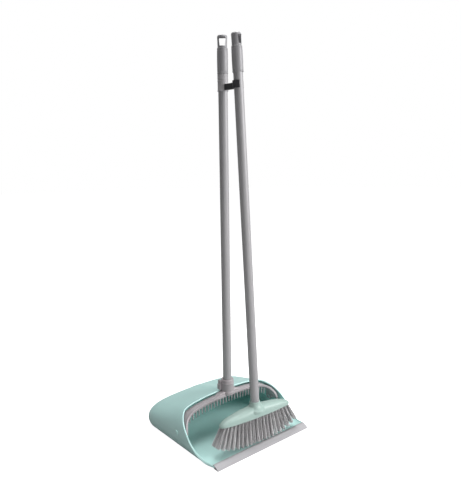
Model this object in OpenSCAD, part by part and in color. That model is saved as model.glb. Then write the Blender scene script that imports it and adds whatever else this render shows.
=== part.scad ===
// Standing dust pan and brush set: a hooded pan with a comb yoke on a long pole,
// and a broom that stands in the pan and snaps into a clip on that pole.
// Units are millimetres. +Z is up, -Y is the pan's front edge, +X runs across the pan.
// The origin is on the floor, at the middle of the pan's width and depth.

/* [Pan] */
// Length of the soft strip along the pan's front edge
lip_w = 284; // [230:1:340]
// Depth of the pan, from the front of the strip to the back wall
pan_d = 300; // [250:1:360]
// Overall width of the pan at the bulge of its side walls
pan_w = 312; // [306:1:380]
// Height of the hood at its front rim
hood_h = 98; // [88:1:125]
// Drop of the hood's top from its rim to its back
hood_drop = 43; // [10:50]
// Wall thickness of the moulded pan
wall = 2.4; // [1.8:0.1:3]
// Corner radius where the side walls turn into the back wall
back_r = 46; // [25:1:60]
// Radius where the top of the hood turns down into the back wall
top_r = 32; // [20:50]
// Height of the front edge above the floor, which the strip slopes down from
ramp_h = 4; // [2:0.5:6]

/* [Yoke] */
// Distance from the front of the pan to the pivot pins and the pan pole
pivot_y = 141; // [128:1:155]
// Height of the pivot pins above the floor
pivot_z = 37; // [32:1:45]
// Radius of a pivot pin's shaft
pin_r = 4; // [3:0.25:5]
// Radius of a pivot pin's head
pin_head_r = 6.4; // [5.5:0.1:8]
// Depth of the yoke's hoop, front to back
hoop_d = 20; // [14:0.5:22]
// Thickness of the yoke's hoop
hoop_t = 5.5; // [4.5:0.5:8]
// Gap between the hoop and the inside of the hood
hoop_gap = 5; // [4:0.5:9]
// Length of a comb tooth
tooth_l = 19; // [8:1:20]
// Distance between comb teeth
tooth_pitch = 9.2; // [7:0.1:12]

/* [Poles] */
// Outer diameter of both steel poles
pole_d = 21; // [17:0.5:26]
// Wall thickness of both steel poles
pole_wall = 0.8; // [0.6:0.1:1.2]
// Height of the top of the pan pole's loop above the floor
pan_top_z = 933; // [780:1:1150]
// Height of the top of the broom's loop, along the broom's own axis
broom_len = 862; // [720:1:1060]
// Length of each plastic grip
grip_l = 55; // [40:1:90]
// Thickness of each grip over its pole
grip_t = 1.5; // [1:0.1:2.5]
// Length of each hanging cap above its grip
cap_l = 27; // [25:1:40]
// Length of the collar that carries the broom clip
collar_l = 38; // [28:1:50]

/* [Broom] */
// Length of the broom's block
block_l = 204; // [170:1:240]
// Depth of the broom's block, front to back
block_d = 36; // [34:1:50]
// Height of the broom's block at its middle
block_h = 24; // [18:1:30]
// Length of the bristles
bristle_l = 62; // [50:1:75]
// Backward lean of the broom as it stands in its clip, in degrees
broom_lean = 3.75; // [3:0.25:4.5]
// Turn of the broom about its own pole as it stands in the pan, in degrees
broom_turn = -4; // [-5:1:5]
// Distance from the front of the pan to the broom's pole at the block's underside
broom_y = 37; // [36:1:46]
// Tufts in each row
tuft_count = 20; // [14:1:24]

/* [Fits] */
// Radial clearance of a turning or sliding fit
run_clear = 0.06; // [0.03:0.01:0.1]
// Gap between the standing bristles and the top of the strip
stand_gap = 0.6; // [0.4:0.1:1]

/* [Hidden] */
$fn = 48;
MINT = "#b9d8d2";
PALE_MINT = "#cfe4d8";
WARM_GREY = "#a39b9d";
LIGHT_GREY = "#c4c2c7";
STEEL_GREY = "#9c9a9c";
CHARCOAL = "#45464a";
BRISTLE_GREY = "#8f8c90";

front = -pan_d / 2;
back = pan_d / 2;
yoke_y = front + pivot_y;
strip_d = 20;
edge_y = front + 13;
ramp_l = 30;
strip_top = ramp_h + wall + 2 * run_clear + 1.4;
base_w = lip_w + 2 * wall + 4;
flare = 1 - base_w / pan_w;
mouth_back = yoke_y + 8;
mouth_step = 54;
rim_gap = 1;
arch_n = 4.4;
crown = 0.09;
side_top = 0.86;
side_steps = 12;
top_steps = 22;
floor_steps = 6;
sheets = 24;

pole_r = pole_d / 2;
grip_r = pole_r + grip_t;
socket_r = pole_r + 5.5;
socket_top = hood_h + 28;
hoop_w = pan_w / 2 - wall - hoop_gap;
hoop_h = hood_h - wall - hoop_gap;
saddle_d = min(hoop_d, 2 * (mouth_back - yoke_y - rim_gap));
pole_bottom = hoop_h + 3;
cap_z = pan_top_z - cap_l;
grip_z = cap_z - grip_l;
collar_z = grip_z - collar_l;
collar_r = pole_r + 1.2;
clip_z = collar_z + 2;
clip_h = 16;
boss_r = 10;
boss_l = 7;
pin_reach = 9;
seat_depth = 0.8;

// ---- the pan's surface -------------------------------------------------------------------

function mix(a, b, t) = a * (1 - t) + b * t;
function ease(t) = let (c = min(max(t, 0), 1)) c * c * (3 - 2 * c);
// Outline of the hood across the pan, as [share of half width, share of height]
function arch_top(x) = [x, pow(1 - pow(abs(x), arch_n), 1 / arch_n) * (1 - crown * pow(abs(x), 1.2))];
function arch_side(u) = let (x = pow(1 - pow(u, arch_n), 1 / arch_n)) [x, u * (1 - crown * pow(x, 1.2))];
side_x = arch_side(side_top)[0];
half_side = [for (i = [0 : side_steps - 1]) arch_side(side_top * pow(i / side_steps, 1.5))];
unit_arch = concat([for (p = half_side) [-p[0], p[1]]],
                   [for (k = [0 : top_steps]) arch_top(mix(-side_x, side_x, k / top_steps))],
                   [for (i = [side_steps - 1 : -1 : 0]) half_side[i]]);
// Side walls lean outwards from the floor up to two fifths of their height
function wall_lean(u) = 1 - flare * pow(max(0, 1 - u / 0.4), 2);
// Front rim: along the ramp's edge, then up in an S to the top of the hood
function mouth_y(u) = min(mouth_back, edge_y + mouth_step * (1 - exp(-u / 0.05))
                      + (mouth_back - edge_y - mouth_step) * pow(min(u / 0.84, 1), 1.5));
function lift(y) = ramp_h * (1 - ease((y - edge_y) / ramp_l));
// Inset of a rounded end of radius r that finishes at y = stop
function round_in(y, r, stop) = y <= stop - r ? 0 : r - sqrt(max(0, r * r - pow(y - stop + r, 2)));
// One ring of the shell. t is 0 on the outside and the wall thickness on the inside
function ring(q, t) = let (stop = back - t, h = mix(hood_h, hood_h - hood_drop, q) - t) concat(
    [for (p = unit_arch) let (y = mix(mouth_y(p[1]), stop, q), b = lift(y) + t)
        [(pan_w / 2 - t - round_in(y, back_r - t, stop)) * p[0] * wall_lean(p[1]), y,
         mix(b, h - round_in(y, top_r - t, stop), p[1])]],
    [for (k = [1 : floor_steps - 1]) let (y = mix(mouth_y(0), stop, q))
        [(pan_w / 2 - t - round_in(y, back_r - t, stop)) * wall_lean(0) * (1 - 2 * k / floor_steps),
         y, lift(y) + t]]);
// Rings crowd towards the back, where the wall turns
function sheet_q(j) = sin(90 * j / sheets);

module shell_skin() {
    n = len(unit_arch) + floor_steps - 1;
    outer = [for (j = [0 : sheets]) each ring(sheet_q(j), 0)];
    inner = [for (j = [0 : sheets]) each ring(sheet_q(j), wall)];
    off = len(outer);
    quads = [for (j = [0 : sheets - 1], i = [0 : n - 1])
        let (a = j * n + i, b = j * n + (i + 1) % n) [a, b, b + n, a + n]];
    polyhedron(points = concat(outer, inner), faces = concat(
        [for (q = quads) each [[q[0], q[1], q[2]], [q[0], q[2], q[3]]]],
        [for (q = quads) each [[off + q[2], off + q[1], off + q[0]], [off + q[3], off + q[2], off + q[0]]]],
        [for (i = [0 : n - 1]) let (k = (i + 1) % n) each [[off + i, off + k, k], [off + i, k, i]]],
        [[for (i = [0 : n - 1]) sheets * n + i]],
        [[for (i = [n - 1 : -1 : 0]) off + sheets * n + i]]), convexity = 10);
}

module at_pivots(side) {
    translate([side * pan_w / 2, yoke_y, pivot_z]) rotate([0, side * 90, 0]) children();
}

module pan_shell() {
    color(MINT) difference() {
        shell_skin();
        for (side = [-1, 1]) at_pivots(side) {
            translate([0, 0, -wall - 8]) cylinder(r = pin_r, h = wall + 20);
            translate([0, 0, -wall + seat_depth]) cylinder(r = pin_head_r + 0.4, h = 20);
        }
        translate([0, yoke_y, hood_h - 26]) cylinder(r = socket_r + 1.5, h = 60);
    }
}

// Wedge of soft plastic that grips the front edge of the pan
module lip_strip() {
    slot = wall + 2 * run_clear;
    color(LIGHT_GREY) translate([-lip_w / 2, 0, 0]) rotate([90, 0, 90]) linear_extrude(lip_w)
        polygon([[front, 0.4], [front + 0.8, 0], [edge_y + 3, 0], [edge_y + 3, 1.2],
                 [edge_y - 1, ramp_h - run_clear - 0.6], [edge_y - 1, ramp_h + slot],
                 [edge_y + 7, ramp_h + slot], [edge_y + 7, strip_top - 0.7],
                 [edge_y + 5, strip_top], [edge_y, strip_top]]);
}

module pivot_pin(side) {
    seat = -wall + seat_depth;
    color(MINT) at_pivots(side) rotate_extrude() polygon([
        [0, seat - pin_reach - wall], [pin_r - 0.6, seat - pin_reach - wall],
        [pin_r - run_clear, seat - pin_reach - wall + 0.6], [pin_r - run_clear, seat],
        [pin_head_r, seat], [pin_head_r, seat + 1.2], [pin_head_r - 1, seat + 2.2], [0, seat + 2.6]]);
}
module left_pivot_pin() pivot_pin(-1);
module right_pivot_pin() pivot_pin(1);

// ---- the yoke ----------------------------------------------------------------------------

function hoop_edge(inset) = [for (p = unit_arch) let (z = mix(0, hoop_h - inset, p[1])) if (z > pivot_z)
    [(hoop_w - inset) * p[0] * wall_lean(p[1]), z]];
function hoop_under(x) = (hoop_h - hoop_t) * arch_top(x / (hoop_w - hoop_t))[1];

module hoop(deep) {
    rim = hoop_edge(0);
    bore = hoop_edge(hoop_t);
    last = len(bore) - 1;
    translate([0, yoke_y + deep / 2, 0]) rotate([90, 0, 0]) linear_extrude(deep)
        polygon(concat([[rim[0][0], pivot_z]], rim, [[rim[len(rim) - 1][0], pivot_z]],
                       [[bore[last][0], pivot_z]], [for (i = [last : -1 : 0]) bore[i]],
                       [[bore[0][0], pivot_z]]));
}

// Ends of the hoop widened forwards along the hood's rim, short of the pan's floor
module cheeks() {
    reach = pivot_z - ramp_h - wall;
    intersection() {
        hoop(4 * reach);
        translate([-hoop_w - 1, 0, 0]) rotate([90, 0, 90]) linear_extrude(2 * hoop_w + 2)
            polygon([for (p = [[0.2, 0], [0.2, 1.1], [-0.5, 1.25], [-0.84, 0.52], [-0.99, 0.1], [-0.97, 0]])
                [yoke_y + reach * p[0], pivot_z + reach * p[1]]]);
    }
}

module comb_yoke() {
    boss_x = hoop_w - boss_l;
    teeth = floor((hoop_w - 26) / tooth_pitch);
    color(WARM_GREY) difference() {
        union() {
            hoop(hoop_d);
            cheeks();
            for (side = [-1, 1]) translate([side * boss_x, yoke_y, pivot_z]) rotate([0, side * 90, 0])
                cylinder(r = boss_r, h = boss_l);
            translate([0, yoke_y, hoop_h - hoop_t + 1]) cylinder(r = socket_r, h = socket_top - hoop_h + hoop_t - 1);
            translate([0, yoke_y + saddle_d / 2, 0]) rotate([90, 0, 0]) linear_extrude(saddle_d)
                polygon([[-48, hoop_h - 3], [-socket_r, hoop_h + 8], [socket_r, hoop_h + 8], [48, hoop_h - 3]]);
            for (i = [-teeth : teeth]) translate([i * tooth_pitch, yoke_y - hoop_d / 4, hoop_under(i * tooth_pitch) + 1])
                rotate([180, 0, 0]) cylinder(r1 = 2.2, r2 = 1, h = tooth_l + 1);
        }
        for (side = [-1, 1]) translate([side * (boss_x - 20), yoke_y, pivot_z]) rotate([0, side * 90, 0])
            cylinder(r = pin_r, h = 60);
        translate([0, yoke_y, pole_bottom]) cylinder(r = pole_r, h = 200);
    }
}

// Stepped catch behind the socket that snaps over the hood and holds the pole upright
module pan_latch() {
    color(WARM_GREY) difference() {
        translate([-socket_r - 4, yoke_y + 2, hood_h + 3]) union() {
            cube([8, 10, 23]);
            translate([-2.5, 2, 0]) cube([6, 8, 13]);
        }
        translate([0, yoke_y, 0]) cylinder(r = socket_r, h = 400);
    }
}

// ---- poles, grips and caps ---------------------------------------------------------------

module tube(low, high) {
    translate([0, 0, low]) difference() {
        cylinder(r = pole_r, h = high - low);
        translate([0, 0, -1]) cylinder(r = pole_r - pole_wall, h = high - low + 2);
    }
}

module grip(low) {
    translate([0, 0, low]) difference() {
        rotate_extrude() polygon([[0, 0], [grip_r + 0.3, 0], [grip_r + 0.3, 2], [grip_r, 2.6],
                                  [grip_r + 0.2, grip_l / 2], [grip_r - 0.2, grip_l - 1.2],
                                  [grip_r - 1, grip_l], [0, grip_l]]);
        translate([0, 0, -1]) cylinder(r = pole_r, h = grip_l + 2);
    }
}

// Flared cap with a window through it, on a spigot that turns inside the pole
module hang_cap(low, turn) {
    top_w = 15;
    low_w = 11.5;
    translate([0, 0, low]) rotate([0, 0, turn]) difference() {
        rotate_extrude() polygon(concat(
            [[0, -24], [pole_r - pole_wall - 1, -24], [pole_r - pole_wall - run_clear, -22],
             [pole_r - pole_wall - run_clear, 0.3], [pole_r + 0.1, 0.3]],
            [for (a = [0 : 5]) [pole_r + 0.1 + 0.6 * a * a / 25, 4 + (cap_l - 9) * a / 5]],
            [[pole_r - 0.4, cap_l - 1.3], [pole_r - 3.5, cap_l], [0, cap_l]]));
        rotate([90, 0, 0]) translate([0, 0, -40]) linear_extrude(80)
            polygon([[-low_w / 2, 3.5], [low_w / 2, 3.5], [top_w / 2, cap_l - 6],
                     [top_w / 2 - 2, cap_l - 4.5], [2 - top_w / 2, cap_l - 4.5], [-top_w / 2, cap_l - 6]]);
    }
}

module on_pan_pole() translate([0, yoke_y, 0]) children();

module pan_pole() color(STEEL_GREY) on_pan_pole() tube(pole_bottom, cap_z);
module pan_pole_plug() color(CHARCOAL) on_pan_pole() translate([0, 0, pole_bottom])
    cylinder(r = pole_r - pole_wall, h = 26);
module pan_grip() color(STEEL_GREY) on_pan_pole() grip(grip_z);
module pan_hang_cap() color(STEEL_GREY) on_pan_pole() hang_cap(cap_z, -39);

// Ribbed collar clamped on the pan pole
module clip_collar() {
    ribs = 5;
    color(LIGHT_GREY) on_pan_pole() translate([0, 0, collar_z]) difference() {
        union() {
            cylinder(r = collar_r, h = collar_l - 0.4);
            cylinder(r = collar_r + 0.7, h = 2);
            for (i = [0 : ribs - 1]) translate([0, 0, collar_l - 3 - 3.4 * i]) cylinder(r = collar_r + 0.4, h = 1.2);
        }
        translate([0, 0, -1]) cylinder(r = pole_r, h = collar_l + 2);
    }
}

// ---- the broom's own frame ---------------------------------------------------------------

under_z = bristle_l + strip_top - 0.4 + stand_gap;
broom_axis_y = front + broom_y;
neck_h = 10;
thread_l = 20;
pole_seat = block_h + 2;
broom_cap = broom_len - cap_l;
block_end = 0.6;
tuft_rows = 4;
tuft_inset = 9;
root_r = 2.2;

// The broom stands at its place with its axis along local Z and its block's underside at local 0
module on_broom() {
    translate([0, broom_axis_y, under_z]) rotate([-broom_lean, 0, 0]) rotate([0, 0, broom_turn]) children();
}

// Arm with a jaw that snaps round the broom's pole and opens forwards
module broom_clip() {
    jaw_t = 3;
    jaw_turn = 30;
    arm_w = 11;
    jaw_y = broom_axis_y + tan(broom_lean) * (clip_z + clip_h / 2 - under_z);
    color(CHARCOAL) difference() {
        union() {
            translate([-arm_w / 2, jaw_y + pole_r, clip_z])
                cube([arm_w, yoke_y - jaw_y - pole_r - collar_r + 3, clip_h - 3]);
            translate([0, jaw_y, clip_z + clip_h / 2]) rotate([-broom_lean, 0, 0]) translate([0, 0, -clip_h / 2])
                difference() {
                    cylinder(r = pole_r + jaw_t, h = clip_h);
                    rotate([0, 0, jaw_turn]) translate([-40, -40 - pole_r / 2, -1]) cube([80, 40, clip_h + 2]);
                }
            translate([-2, jaw_y + pole_r + 1, clip_z + clip_h - 3]) cube([4, 3.5, 5]);
        }
        translate([0, jaw_y, clip_z + clip_h / 2]) rotate([-broom_lean, 0, 0]) translate([0, 0, -50])
            cylinder(r = pole_r + run_clear, h = 100);
        translate([0, yoke_y, 0]) cylinder(r = collar_r + 0.7, h = 1200);
    }
}

module broom_pole() color(STEEL_GREY) on_broom() tube(pole_seat, broom_cap);
module broom_grip() color(STEEL_GREY) on_broom() grip(broom_cap - grip_l);
module broom_hang_cap() color(STEEL_GREY) on_broom() hang_cap(broom_cap, 19 - broom_turn);

// Plastic ferrule pressed in the pole, with a coarse thread that screws into the block
module broom_thread_plug() {
    pitch = 4;
    core_r = 7;
    color(CHARCOAL) on_broom() rotate_extrude() polygon(concat(
        [[0, pole_seat - thread_l], [core_r - 1, pole_seat - thread_l]],
        [for (i = [0 : 3], s = [0 : 3]) [core_r + (s == 1 || s == 2 ? 1.3 : 0),
            pole_seat - thread_l + 2 + pitch * i + [0, 1, 2, 3][s]]],
        [[core_r, pole_seat], [pole_r - pole_wall, pole_seat], [pole_r - pole_wall, pole_seat + 24], [0, pole_seat + 24]]));
}

// One section across the block: flat underneath, round above
function block_half(x) = let (e = pow(abs(x), 1.9)) [
    (block_d / 2) * mix(1, block_end, e) * sqrt(max(0.02, 1 - pow(abs(x), 14))),
    block_h * mix(1, 0.45, pow(abs(x), 1.6)) * sqrt(max(0.05, 1 - pow(abs(x), 10)))];
block_sections = 28;
section_steps = 14;
function block_x(i) = -cos(180 * i / block_sections);

module block_body() {
    n = section_steps + 1;
    points = [for (i = [0 : block_sections]) let (x = block_x(i), s = block_half(x))
        for (k = [0 : section_steps]) let (a = 180 * k / section_steps, c = cos(a))
            [x * block_l / 2, s[0] * sign(c) * pow(abs(c), 0.7), s[1] * pow(sin(a), 0.6)]];
    polyhedron(points = points, faces = concat(
        [for (i = [0 : block_sections - 1], k = [0 : n - 1])
            let (a = i * n + k, b = i * n + (k + 1) % n) each [[a, a + n, b + n], [a, b + n, b]]],
        [[for (k = [0 : n - 1]) k]],
        [[for (k = [n - 1 : -1 : 0]) block_sections * n + k]]), convexity = 4);
}

module brush_block() {
    color(PALE_MINT) on_broom() difference() {
        union() {
            block_body();
            translate([0, 0, block_h - 8]) rotate_extrude() polygon([[0, 0], [21, 0], [pole_r + 6.5, 4],
                [pole_r + 3.6, 9], [pole_r + 2.2, 8 + neck_h - 3], [pole_r + 1.6, 8 + neck_h], [0, 8 + neck_h]]);
        }
        translate([0, 0, pole_seat]) cylinder(r = pole_r, h = 60);
        translate([0, 0, pole_seat - thread_l - 1]) cylinder(r = 8.3, h = 60);
    }
}

// One row of tufts. Tufts fan out towards the ends of the block
module tuft_row(row) {
    y = block_d * (row - (tuft_rows - 1) / 2) * 0.19;
    span = block_l / 2 - tuft_inset;
    color(BRISTLE_GREY) on_broom() for (i = [0 : tuft_count - 1]) {
        s = 2 * i / (tuft_count - 1) - 1;
        lean = 23 * s * abs(s);
        translate([s * span, y * mix(1, 0.78, s * s), -root_r * abs(sin(lean))]) rotate([180 + (row - 1.5) * 1.6, 0, 0])
            rotate([0, lean, 0]) cylinder(r1 = root_r, r2 = 3.4, h = bristle_l - 0.4 - 9 * pow(abs(s), 4));
    }
}
module tuft_row_front() tuft_row(0);
module tuft_row_mid_front() tuft_row(1);
module tuft_row_mid_back() tuft_row(2);
module tuft_row_back() tuft_row(3);

pan_shell();
lip_strip();
left_pivot_pin();
right_pivot_pin();
comb_yoke();
pan_latch();
pan_pole();
pan_pole_plug();
pan_grip();
pan_hang_cap();
clip_collar();
broom_clip();
broom_pole();
broom_thread_plug();
broom_grip();
broom_hang_cap();
brush_block();
tuft_row_front();
tuft_row_mid_front();
tuft_row_mid_back();
tuft_row_back();
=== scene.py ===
"""A standing dust pan and brush set: the pieces that show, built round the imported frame.

Sizes are in millimetres, in the frame's own axes, until a mesh is made of them; meshes, lights and
the camera are in metres.
"""
import logging
import math
from dataclasses import dataclass
from enum import Enum
from typing import Sequence, Union

import bmesh
import bpy
import numpy as np
from mathutils import Matrix, Vector
from mathutils.geometry import tessellate_polygon


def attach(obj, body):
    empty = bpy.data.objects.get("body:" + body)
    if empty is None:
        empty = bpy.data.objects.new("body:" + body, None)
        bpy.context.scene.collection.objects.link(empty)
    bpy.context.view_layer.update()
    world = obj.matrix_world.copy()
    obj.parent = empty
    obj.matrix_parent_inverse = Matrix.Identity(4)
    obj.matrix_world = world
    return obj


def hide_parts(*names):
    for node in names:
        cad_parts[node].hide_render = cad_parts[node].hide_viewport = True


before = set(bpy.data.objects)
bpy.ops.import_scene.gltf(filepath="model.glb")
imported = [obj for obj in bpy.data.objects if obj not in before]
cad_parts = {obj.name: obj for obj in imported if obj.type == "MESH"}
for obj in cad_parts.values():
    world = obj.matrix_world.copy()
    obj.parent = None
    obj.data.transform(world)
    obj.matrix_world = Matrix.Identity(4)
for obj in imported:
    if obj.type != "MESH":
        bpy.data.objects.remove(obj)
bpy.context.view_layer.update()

LOG = logging.getLogger("dust_pan_set")
MM = 0.001
SEED = 20
ROUND_STEPS = 72  # points round a turned piece
FINE_STEPS = 96  # and round one that is seen close
RUN_CLEAR = 0.06  # gap all round where one piece turns in another
SKIN = 0.03  # gap under a sleeve that is pressed on
POLE_R = 10.5  # both tubes
POLE_Y = -9.0  # the pan's tube and the pivots, front to back
LEAN = 3.75  # of the broom, in degrees
GOLDEN_TURN = 2.39996  # radians between neighbours in a spiral
STAND_UP = np.array([[1, 0, 0, 0], [0, 0, 1, 0], [0, 1, 0, 0], [0, 0, 0, 1]], float)

Flat = tuple[float, float]
Rgb = tuple[float, float, float]
Spot = tuple[float, float, float]
Profile = list[Flat]


class Body(Enum):
    """The bodies that pieces ride on."""

    PAN = "pan"
    HANDLE = "handle"
    PAN_CAP = "pan_cap"
    BROOM = "broom"
    BROOM_CAP = "broom_cap"


# ---- shader graphs -----------------------------------------------------------------------


class Wire:
    """One output of a shader node, which takes part in arithmetic."""

    def __init__(self, graph: "Graph", socket: bpy.types.NodeSocket) -> None:
        """Keep the graph and the socket."""
        self.graph = graph
        self.socket = socket

    def _math(self, operation: str, first: "Value", second: "Value") -> "Wire":
        """Add one Math node and return its result."""
        return self.graph.node("ShaderNodeMath", {"operation": operation}, {0: first, 1: second})

    def __add__(self, other: "Value") -> "Wire":
        """Sum."""
        return self._math("ADD", self, other)

    __radd__ = __add__

    def __sub__(self, other: "Value") -> "Wire":
        """Difference."""
        return self._math("SUBTRACT", self, other)

    def __rsub__(self, other: "Value") -> "Wire":
        """Difference, the other way round."""
        return self._math("SUBTRACT", other, self)

    def __mul__(self, other: "Value") -> "Wire":
        """Product."""
        return self._math("MULTIPLY", self, other)

    __rmul__ = __mul__

    def __pow__(self, other: "Value") -> "Wire":
        """Power."""
        return self._math("POWER", self, other)

    def band(self, low: float, high: float) -> "Wire":
        """Map low..high smoothly to 0..1, and hold it there outside."""
        return self.graph.node(
            "ShaderNodeMapRange", {"interpolation_type": "SMOOTHSTEP"}, {0: self, 1: low, 2: high}
        )


Value = Union[Wire, float, Sequence[float]]


class Graph:
    """The node graph of one material or world."""

    def __init__(self, owner: Union[bpy.types.Material, bpy.types.World]) -> None:
        """Empty the owner's node tree and keep it."""
        owner.use_nodes = True
        self.tree = owner.node_tree
        self.tree.nodes.clear()

    def node(
        self,
        kind: str,
        settings: Union[dict, None] = None,
        inputs: Union[dict, None] = None,
        output: Union[int, str] = 0,
    ) -> Wire:
        """Add one node.

        Args:
            kind: The node's type.
            settings: Its properties, set first.
            inputs: Values or wires by socket number or name.
            output: The output to return.

        Returns:
            The chosen output.
        """
        made = self.tree.nodes.new(kind)
        for key, value in (settings or {}).items():
            setattr(made, key, value)
        for key, value in (inputs or {}).items():
            socket = made.inputs[key]
            if isinstance(value, Wire):
                self.tree.links.new(value.socket, socket)
            else:
                is_colour = socket.type == "RGBA" and len(value) == 3
                socket.default_value = (*value, 1.0) if is_colour else value
        return Wire(self, made.outputs[output] if len(made.outputs) else None)

    def place(self, stretch: Sequence[float] = (1.0, 1.0, 1.0)) -> Wire:
        """The point on the piece, in metres, with each axis scaled by stretch."""
        spot = self.node("ShaderNodeTexCoord", output="Object")
        return self.node("ShaderNodeMapping", {"vector_type": "POINT"}, {0: spot, 3: stretch})

    def noise(
        self, scale: float, detail: float = 3.0, stretch: Sequence[float] = (1.0, 1.0, 1.0)
    ) -> Wire:
        """Noise over the piece.

        Args:
            scale: Features per metre.
            detail: Octaves.
            stretch: Scale of each axis.

        Returns:
            The noise, about 0.3 to 0.7.
        """
        return self.node(
            "ShaderNodeTexNoise", None, {"Vector": self.place(stretch), "Scale": scale, "Detail": detail}
        )

    def blend(self, share: Value, first: Value, second: Value) -> Wire:
        """Mix two colours.

        Args:
            share: 0 gives the first and 1 the second.
            first: A colour.
            second: A colour.

        Returns:
            The mixed colour.
        """
        return self.node(
            "ShaderNodeMix", {"data_type": "RGBA"}, {0: share, 6: first, 7: second}, output=2
        )

    def bump(self, height: Wire, depth: float, strength: float = 1.0) -> Wire:
        """A normal bumped by a height of 0..1 times a depth in millimetres."""
        return self.node(
            "ShaderNodeBump", None, {"Height": height, "Distance": depth * MM, "Strength": strength}
        )

    def mark(self, name: str) -> Wire:
        """A number stored on the mesh's points."""
        return self.node("ShaderNodeAttribute", {"attribute_name": name}, output="Fac")

    def surface(self, constants: dict, varied: dict) -> None:
        """Close the graph with a principled shader.

        Args:
            constants: Fixed numbers by socket name.
            varied: Wires by socket name.
        """
        shader = self.node("ShaderNodeBsdfPrincipled", None, {**constants, **varied})
        self.node("ShaderNodeOutputMaterial", None, {"Surface": shader})


# ---- finishes ----------------------------------------------------------------------------


def linear(code: str) -> Rgb:
    """The linear colour of a six-figure hexadecimal code."""
    steps = [int(code[i : i + 2], 16) / 255 for i in (1, 3, 5)]
    return tuple(c / 12.92 if c <= 0.04045 else ((c + 0.055) / 1.055) ** 2.4 for c in steps)


@dataclass(frozen=True)
class Finish:
    """A finish: the name of its material slot, and its colour.

    Attributes:
        name: The material's name.
        slot: The material slot's name; not used.
        code: Colour as a hexadecimal code.
        roughness: Roughness of the clean surface.
    """

    name: str
    slot: str
    code: str
    roughness: float = 0.45

    def shade(self, factor: float) -> Rgb:
        """The finish's colour made lighter or darker."""
        return tuple(min(1.0, c * factor) for c in linear(self.code))

    def material(self) -> bpy.types.Material:
        """Find the finish's material, or make it at its first use.

        Returns:
            The material.
        """
        known = bpy.data.materials.get(self.name)
        if known is None:
            known = bpy.data.materials.new(self.name)
            self.compose(Graph(known))
        return known

    def compose(self, graph: Graph) -> None:
        """Draw the material's nodes."""
        raise NotImplementedError


@dataclass(frozen=True)
class MouldedPlastic(Finish):
    """Satin moulded plastic: soft mottling, a fine skin, scuffs, and marked edges drawn paler as a
    painted highlight.

    Attributes:
        mottle: Share by which the colour varies over the piece.
        grain: Depth of the moulded skin in millimetres.
        scuffs: Strength of rubbed marks.
        edge_tint: How much marked edges pale; on the pan's rim bead and the hoop's front lip this is a
            painted highlight.
        specular: Specular level.
    """

    mottle: float = 0.035
    grain: float = 0.012
    scuffs: float = 0.2
    edge_tint: float = 0.4
    specular: float = 0.45

    def compose(self, graph: Graph) -> None:
        """Draw the material's nodes."""
        cloud = graph.noise(11.0, 2.0).band(0.3, 0.7)
        flow = graph.noise(45.0, 4.0, (1.0, 0.35, 1.6)).band(0.35, 0.65)
        rubs = graph.noise(34.0, 6.0, (5.0, 1.0, 5.0)).band(0.62, 0.78)
        specks = graph.noise(900.0, 2.0).band(0.68, 0.74)
        skin = graph.noise(2600.0, 2.0)
        hollow = graph.noise(160.0, 2.0)
        colour = graph.blend(cloud, self.shade(1 - self.mottle), self.shade(1 + self.mottle))
        colour = graph.blend(flow * 0.25, colour, self.shade(1 - 2 * self.mottle))
        colour = graph.blend(rubs * (0.35 * self.scuffs), colour, self.shade(1.35))
        colour = graph.blend(specks * (0.3 * self.scuffs), colour, self.shade(0.7))
        # Painted highlight: points marked along an edge, such as the pan's rim bead and the hoop's front
        # lip, are drawn paler.
        colour = graph.blend(graph.mark("edge") * self.edge_tint, colour, self.shade(1.45))
        rough = self.roughness + (cloud - 0.5) * 0.05 + rubs * self.scuffs * 0.5 + specks * 0.1
        height = skin * 0.7 + hollow * 0.3 - rubs * (0.4 * self.scuffs)
        graph.surface(
            {"Specular IOR Level": self.specular, "Coat Roughness": 0.3},
            {
                "Base Color": colour,
                "Roughness": rough,
                "Coat Weight": (1 - rubs) * 0.08,
                "Normal": graph.bump(height, self.grain),
            },
        )


@dataclass(frozen=True)
class PowderCoat(Finish):
    """Grey coat on a steel tube: a fine orange peel, faint drawing lines and handling marks."""

    def compose(self, graph: Graph) -> None:
        """Draw the material's nodes."""
        peel = graph.noise(1500.0, 2.0)
        ripple = graph.noise(420.0, 3.0)
        drawn = graph.noise(700.0, 3.0, (1.0, 1.0, 0.006)).band(0.35, 0.65)
        handled = graph.noise(26.0, 5.0, (1.0, 1.0, 0.5)).band(0.55, 0.8)
        nicks = graph.noise(300.0, 3.0, (1.0, 1.0, 0.3)).band(0.71, 0.76)
        colour = graph.blend(drawn, self.shade(0.955), self.shade(1.045))
        colour = graph.blend(handled * 0.35, colour, self.shade(0.86))
        colour = graph.blend(nicks * 0.5, colour, self.shade(1.5))
        graph.surface(
            {"Specular IOR Level": 0.55, "Coat Roughness": 0.25},
            {
                "Base Color": colour,
                "Metallic": nicks * 0.25 + 0.12,
                "Roughness": self.roughness + handled * 0.08 + (drawn - 0.5) * 0.06,
                "Coat Weight": (1 - handled) * 0.06,
                "Normal": graph.bump(peel * 0.6 + ripple * 0.4 - nicks * 0.5, 0.022),
            },
        )


@dataclass(frozen=True)
class SparkTexture(Finish):
    """Grip plastic with a spark-eroded texture, polished a little where hands hold it."""

    def compose(self, graph: Graph) -> None:
        """Draw the material's nodes."""
        pits = graph.node(
            "ShaderNodeTexVoronoi", {"feature": "F1"}, {"Vector": graph.place(), "Scale": 1500.0}
        )
        grain = graph.noise(1900.0, 3.0)
        held = graph.noise(38.0, 3.0).band(0.42, 0.7)
        colour = graph.blend(grain.band(0.35, 0.65), self.shade(0.93), self.shade(1.06))
        colour = graph.blend(held * 0.3, colour, self.shade(0.88))
        colour = graph.blend(graph.mark("edge") * 0.3, colour, self.shade(1.3))
        graph.surface(
            {"Specular IOR Level": 0.5},
            {
                "Base Color": colour,
                "Roughness": self.roughness - held * 0.12 + grain * 0.05,
                "Normal": graph.bump(pits * 0.6 + grain * 0.5, 0.05),
            },
        )


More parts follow.
